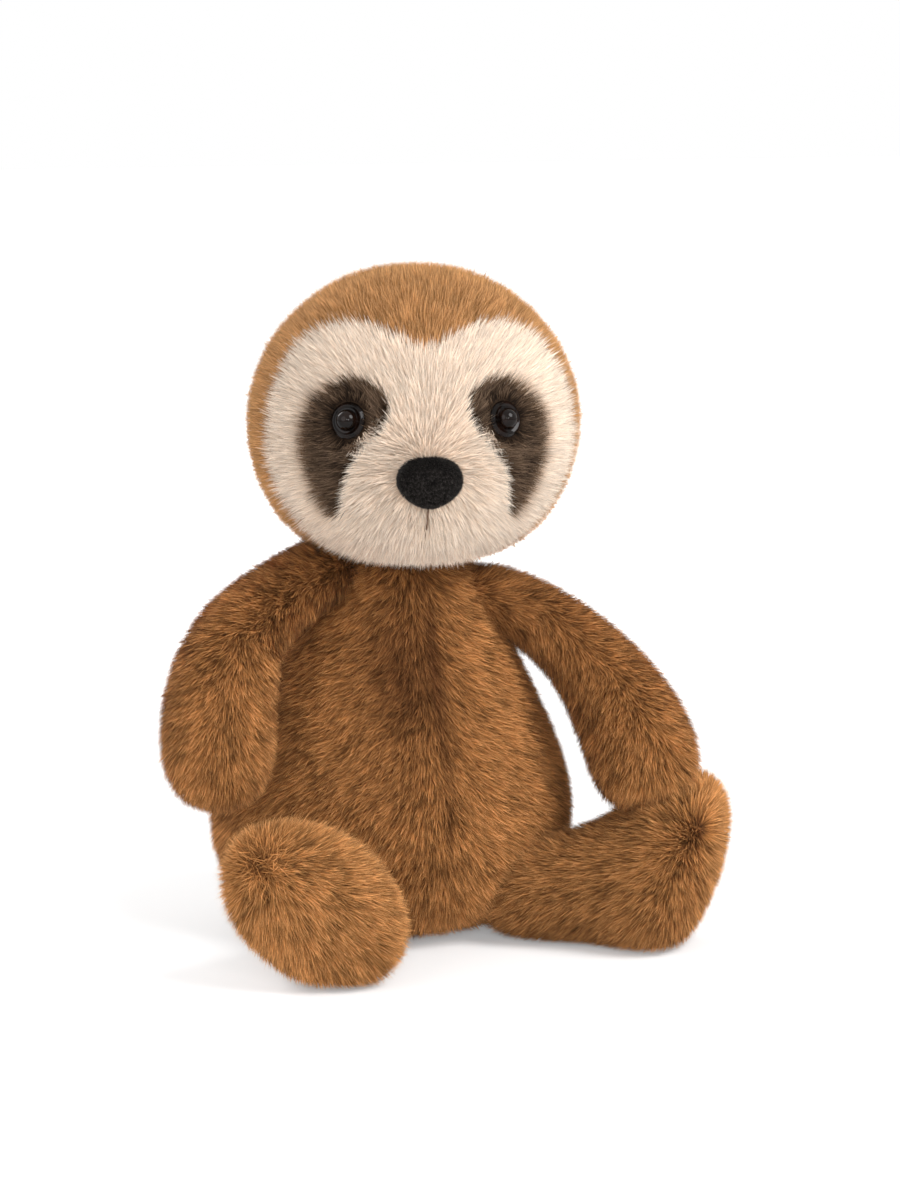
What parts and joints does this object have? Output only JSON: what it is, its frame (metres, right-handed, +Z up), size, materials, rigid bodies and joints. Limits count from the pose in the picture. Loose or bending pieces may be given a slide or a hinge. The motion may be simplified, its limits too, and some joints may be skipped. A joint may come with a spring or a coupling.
{
  "type": "plush sloth",
  "caption": "Sitting plush sloth with a round head, cream face, dark eye patches, glossy eyes and a velour nose, on a pear-shaped body with stuffed limbs that turn at their seams.",
  "frame": {"origin": "on the ground, on the flat underside of the seat, in line with the front seam", "axes": "+Z up, the toy faces -Y, +X is the toy's own left"},
  "size_m": [0.1805, 0.1342, 0.211],
  "materials": {
    "caramel_plush": "long soft pile, caramel brown",
    "cream_plush": "long soft pile, cream",
    "dark_plush": "soft pile, dark brown",
    "nose_velour": "short black velour",
    "eye_plastic": "glossy, almost black brown",
    "washer_plastic": "plain moulded white",
    "polyester_fibre": "loose white fibre",
    "bean_cloth": "plain woven, unbleached",
    "brown_thread": "twisted sewing thread"
  },
  "bodies": {
    "torso": {"torso_front_left_panel": "caramel_plush", "torso_front_right_panel": "caramel_plush", "torso_back_panel": "caramel_plush", "torso_stuffing": "polyester_fibre", "bean_pouch": "bean_cloth"},
    "neck": {"neck_seam_thread": "brown_thread"},
    "head": {"head_back_panel": "caramel_plush", "face_panel": "cream_plush", "head_stuffing": "polyester_fibre", "eye_patch_left": "dark_plush", "eye_patch_right": "dark_plush", "eye_left": "eye_plastic", "eye_right": "eye_plastic", "eye_washer_left": "washer_plastic", "eye_washer_right": "washer_plastic", "nose": "nose_velour", "mouth_stitch": "brown_thread"},
    "arm_left": {"arm_left_cover": "caramel_plush", "arm_left_stuffing": "polyester_fibre"},
    "arm_right": {"arm_right_cover": "caramel_plush", "arm_right_stuffing": "polyester_fibre"},
    "leg_left": {"leg_left_cover": "caramel_plush", "leg_left_stuffing": "polyester_fibre"},
    "leg_right": {"leg_right_cover": "caramel_plush", "leg_right_stuffing": "polyester_fibre"}
  },
  "joints": [
    {"name": "neck_turn", "type": "hinge", "parent": "torso", "child": "neck", "pos_m": [0, -0.004, 0.104], "axis": [0, 0, 1], "range_deg": [-30, 30], "stiffness_Nm_per_rad": 0.5},
    {"name": "head_nod", "type": "hinge", "parent": "neck", "child": "head", "pos_m": [0, -0.004, 0.104], "axis": [0.9588, -0.284, 0], "range_deg": [-15, 5], "stiffness_Nm_per_rad": 0.5},
    {"name": "arm_left_swing", "type": "hinge", "parent": "torso", "child": "arm_left", "pos_m": [0.04122, -0.02246, 0.10221], "axis": [-1, 0, 0], "range_deg": [0, 95], "stiffness_Nm_per_rad": 0.1},
    {"name": "arm_right_swing", "type": "hinge", "parent": "torso", "child": "arm_right", "pos_m": [-0.03867, -0.01605, 0.11308], "axis": [-1, 0, 0], "range_deg": [-5, 95], "stiffness_Nm_per_rad": 0.1},
    {"name": "leg_left_drop", "type": "hinge", "parent": "torso", "child": "leg_left", "pos_m": [0.05097, -0.04653, 0.01705], "axis": [0.4695, 0.8829, 0], "range_deg": [0, 60], "stiffness_Nm_per_rad": 0.1},
    {"name": "leg_right_drop", "type": "hinge", "parent": "torso", "child": "leg_right", "pos_m": [-0.04145, -0.05356, 0.01732], "axis": [0.848, -0.5299, 0], "range_deg": [-30, 60], "stiffness_Nm_per_rad": 0.1}
  ]
}
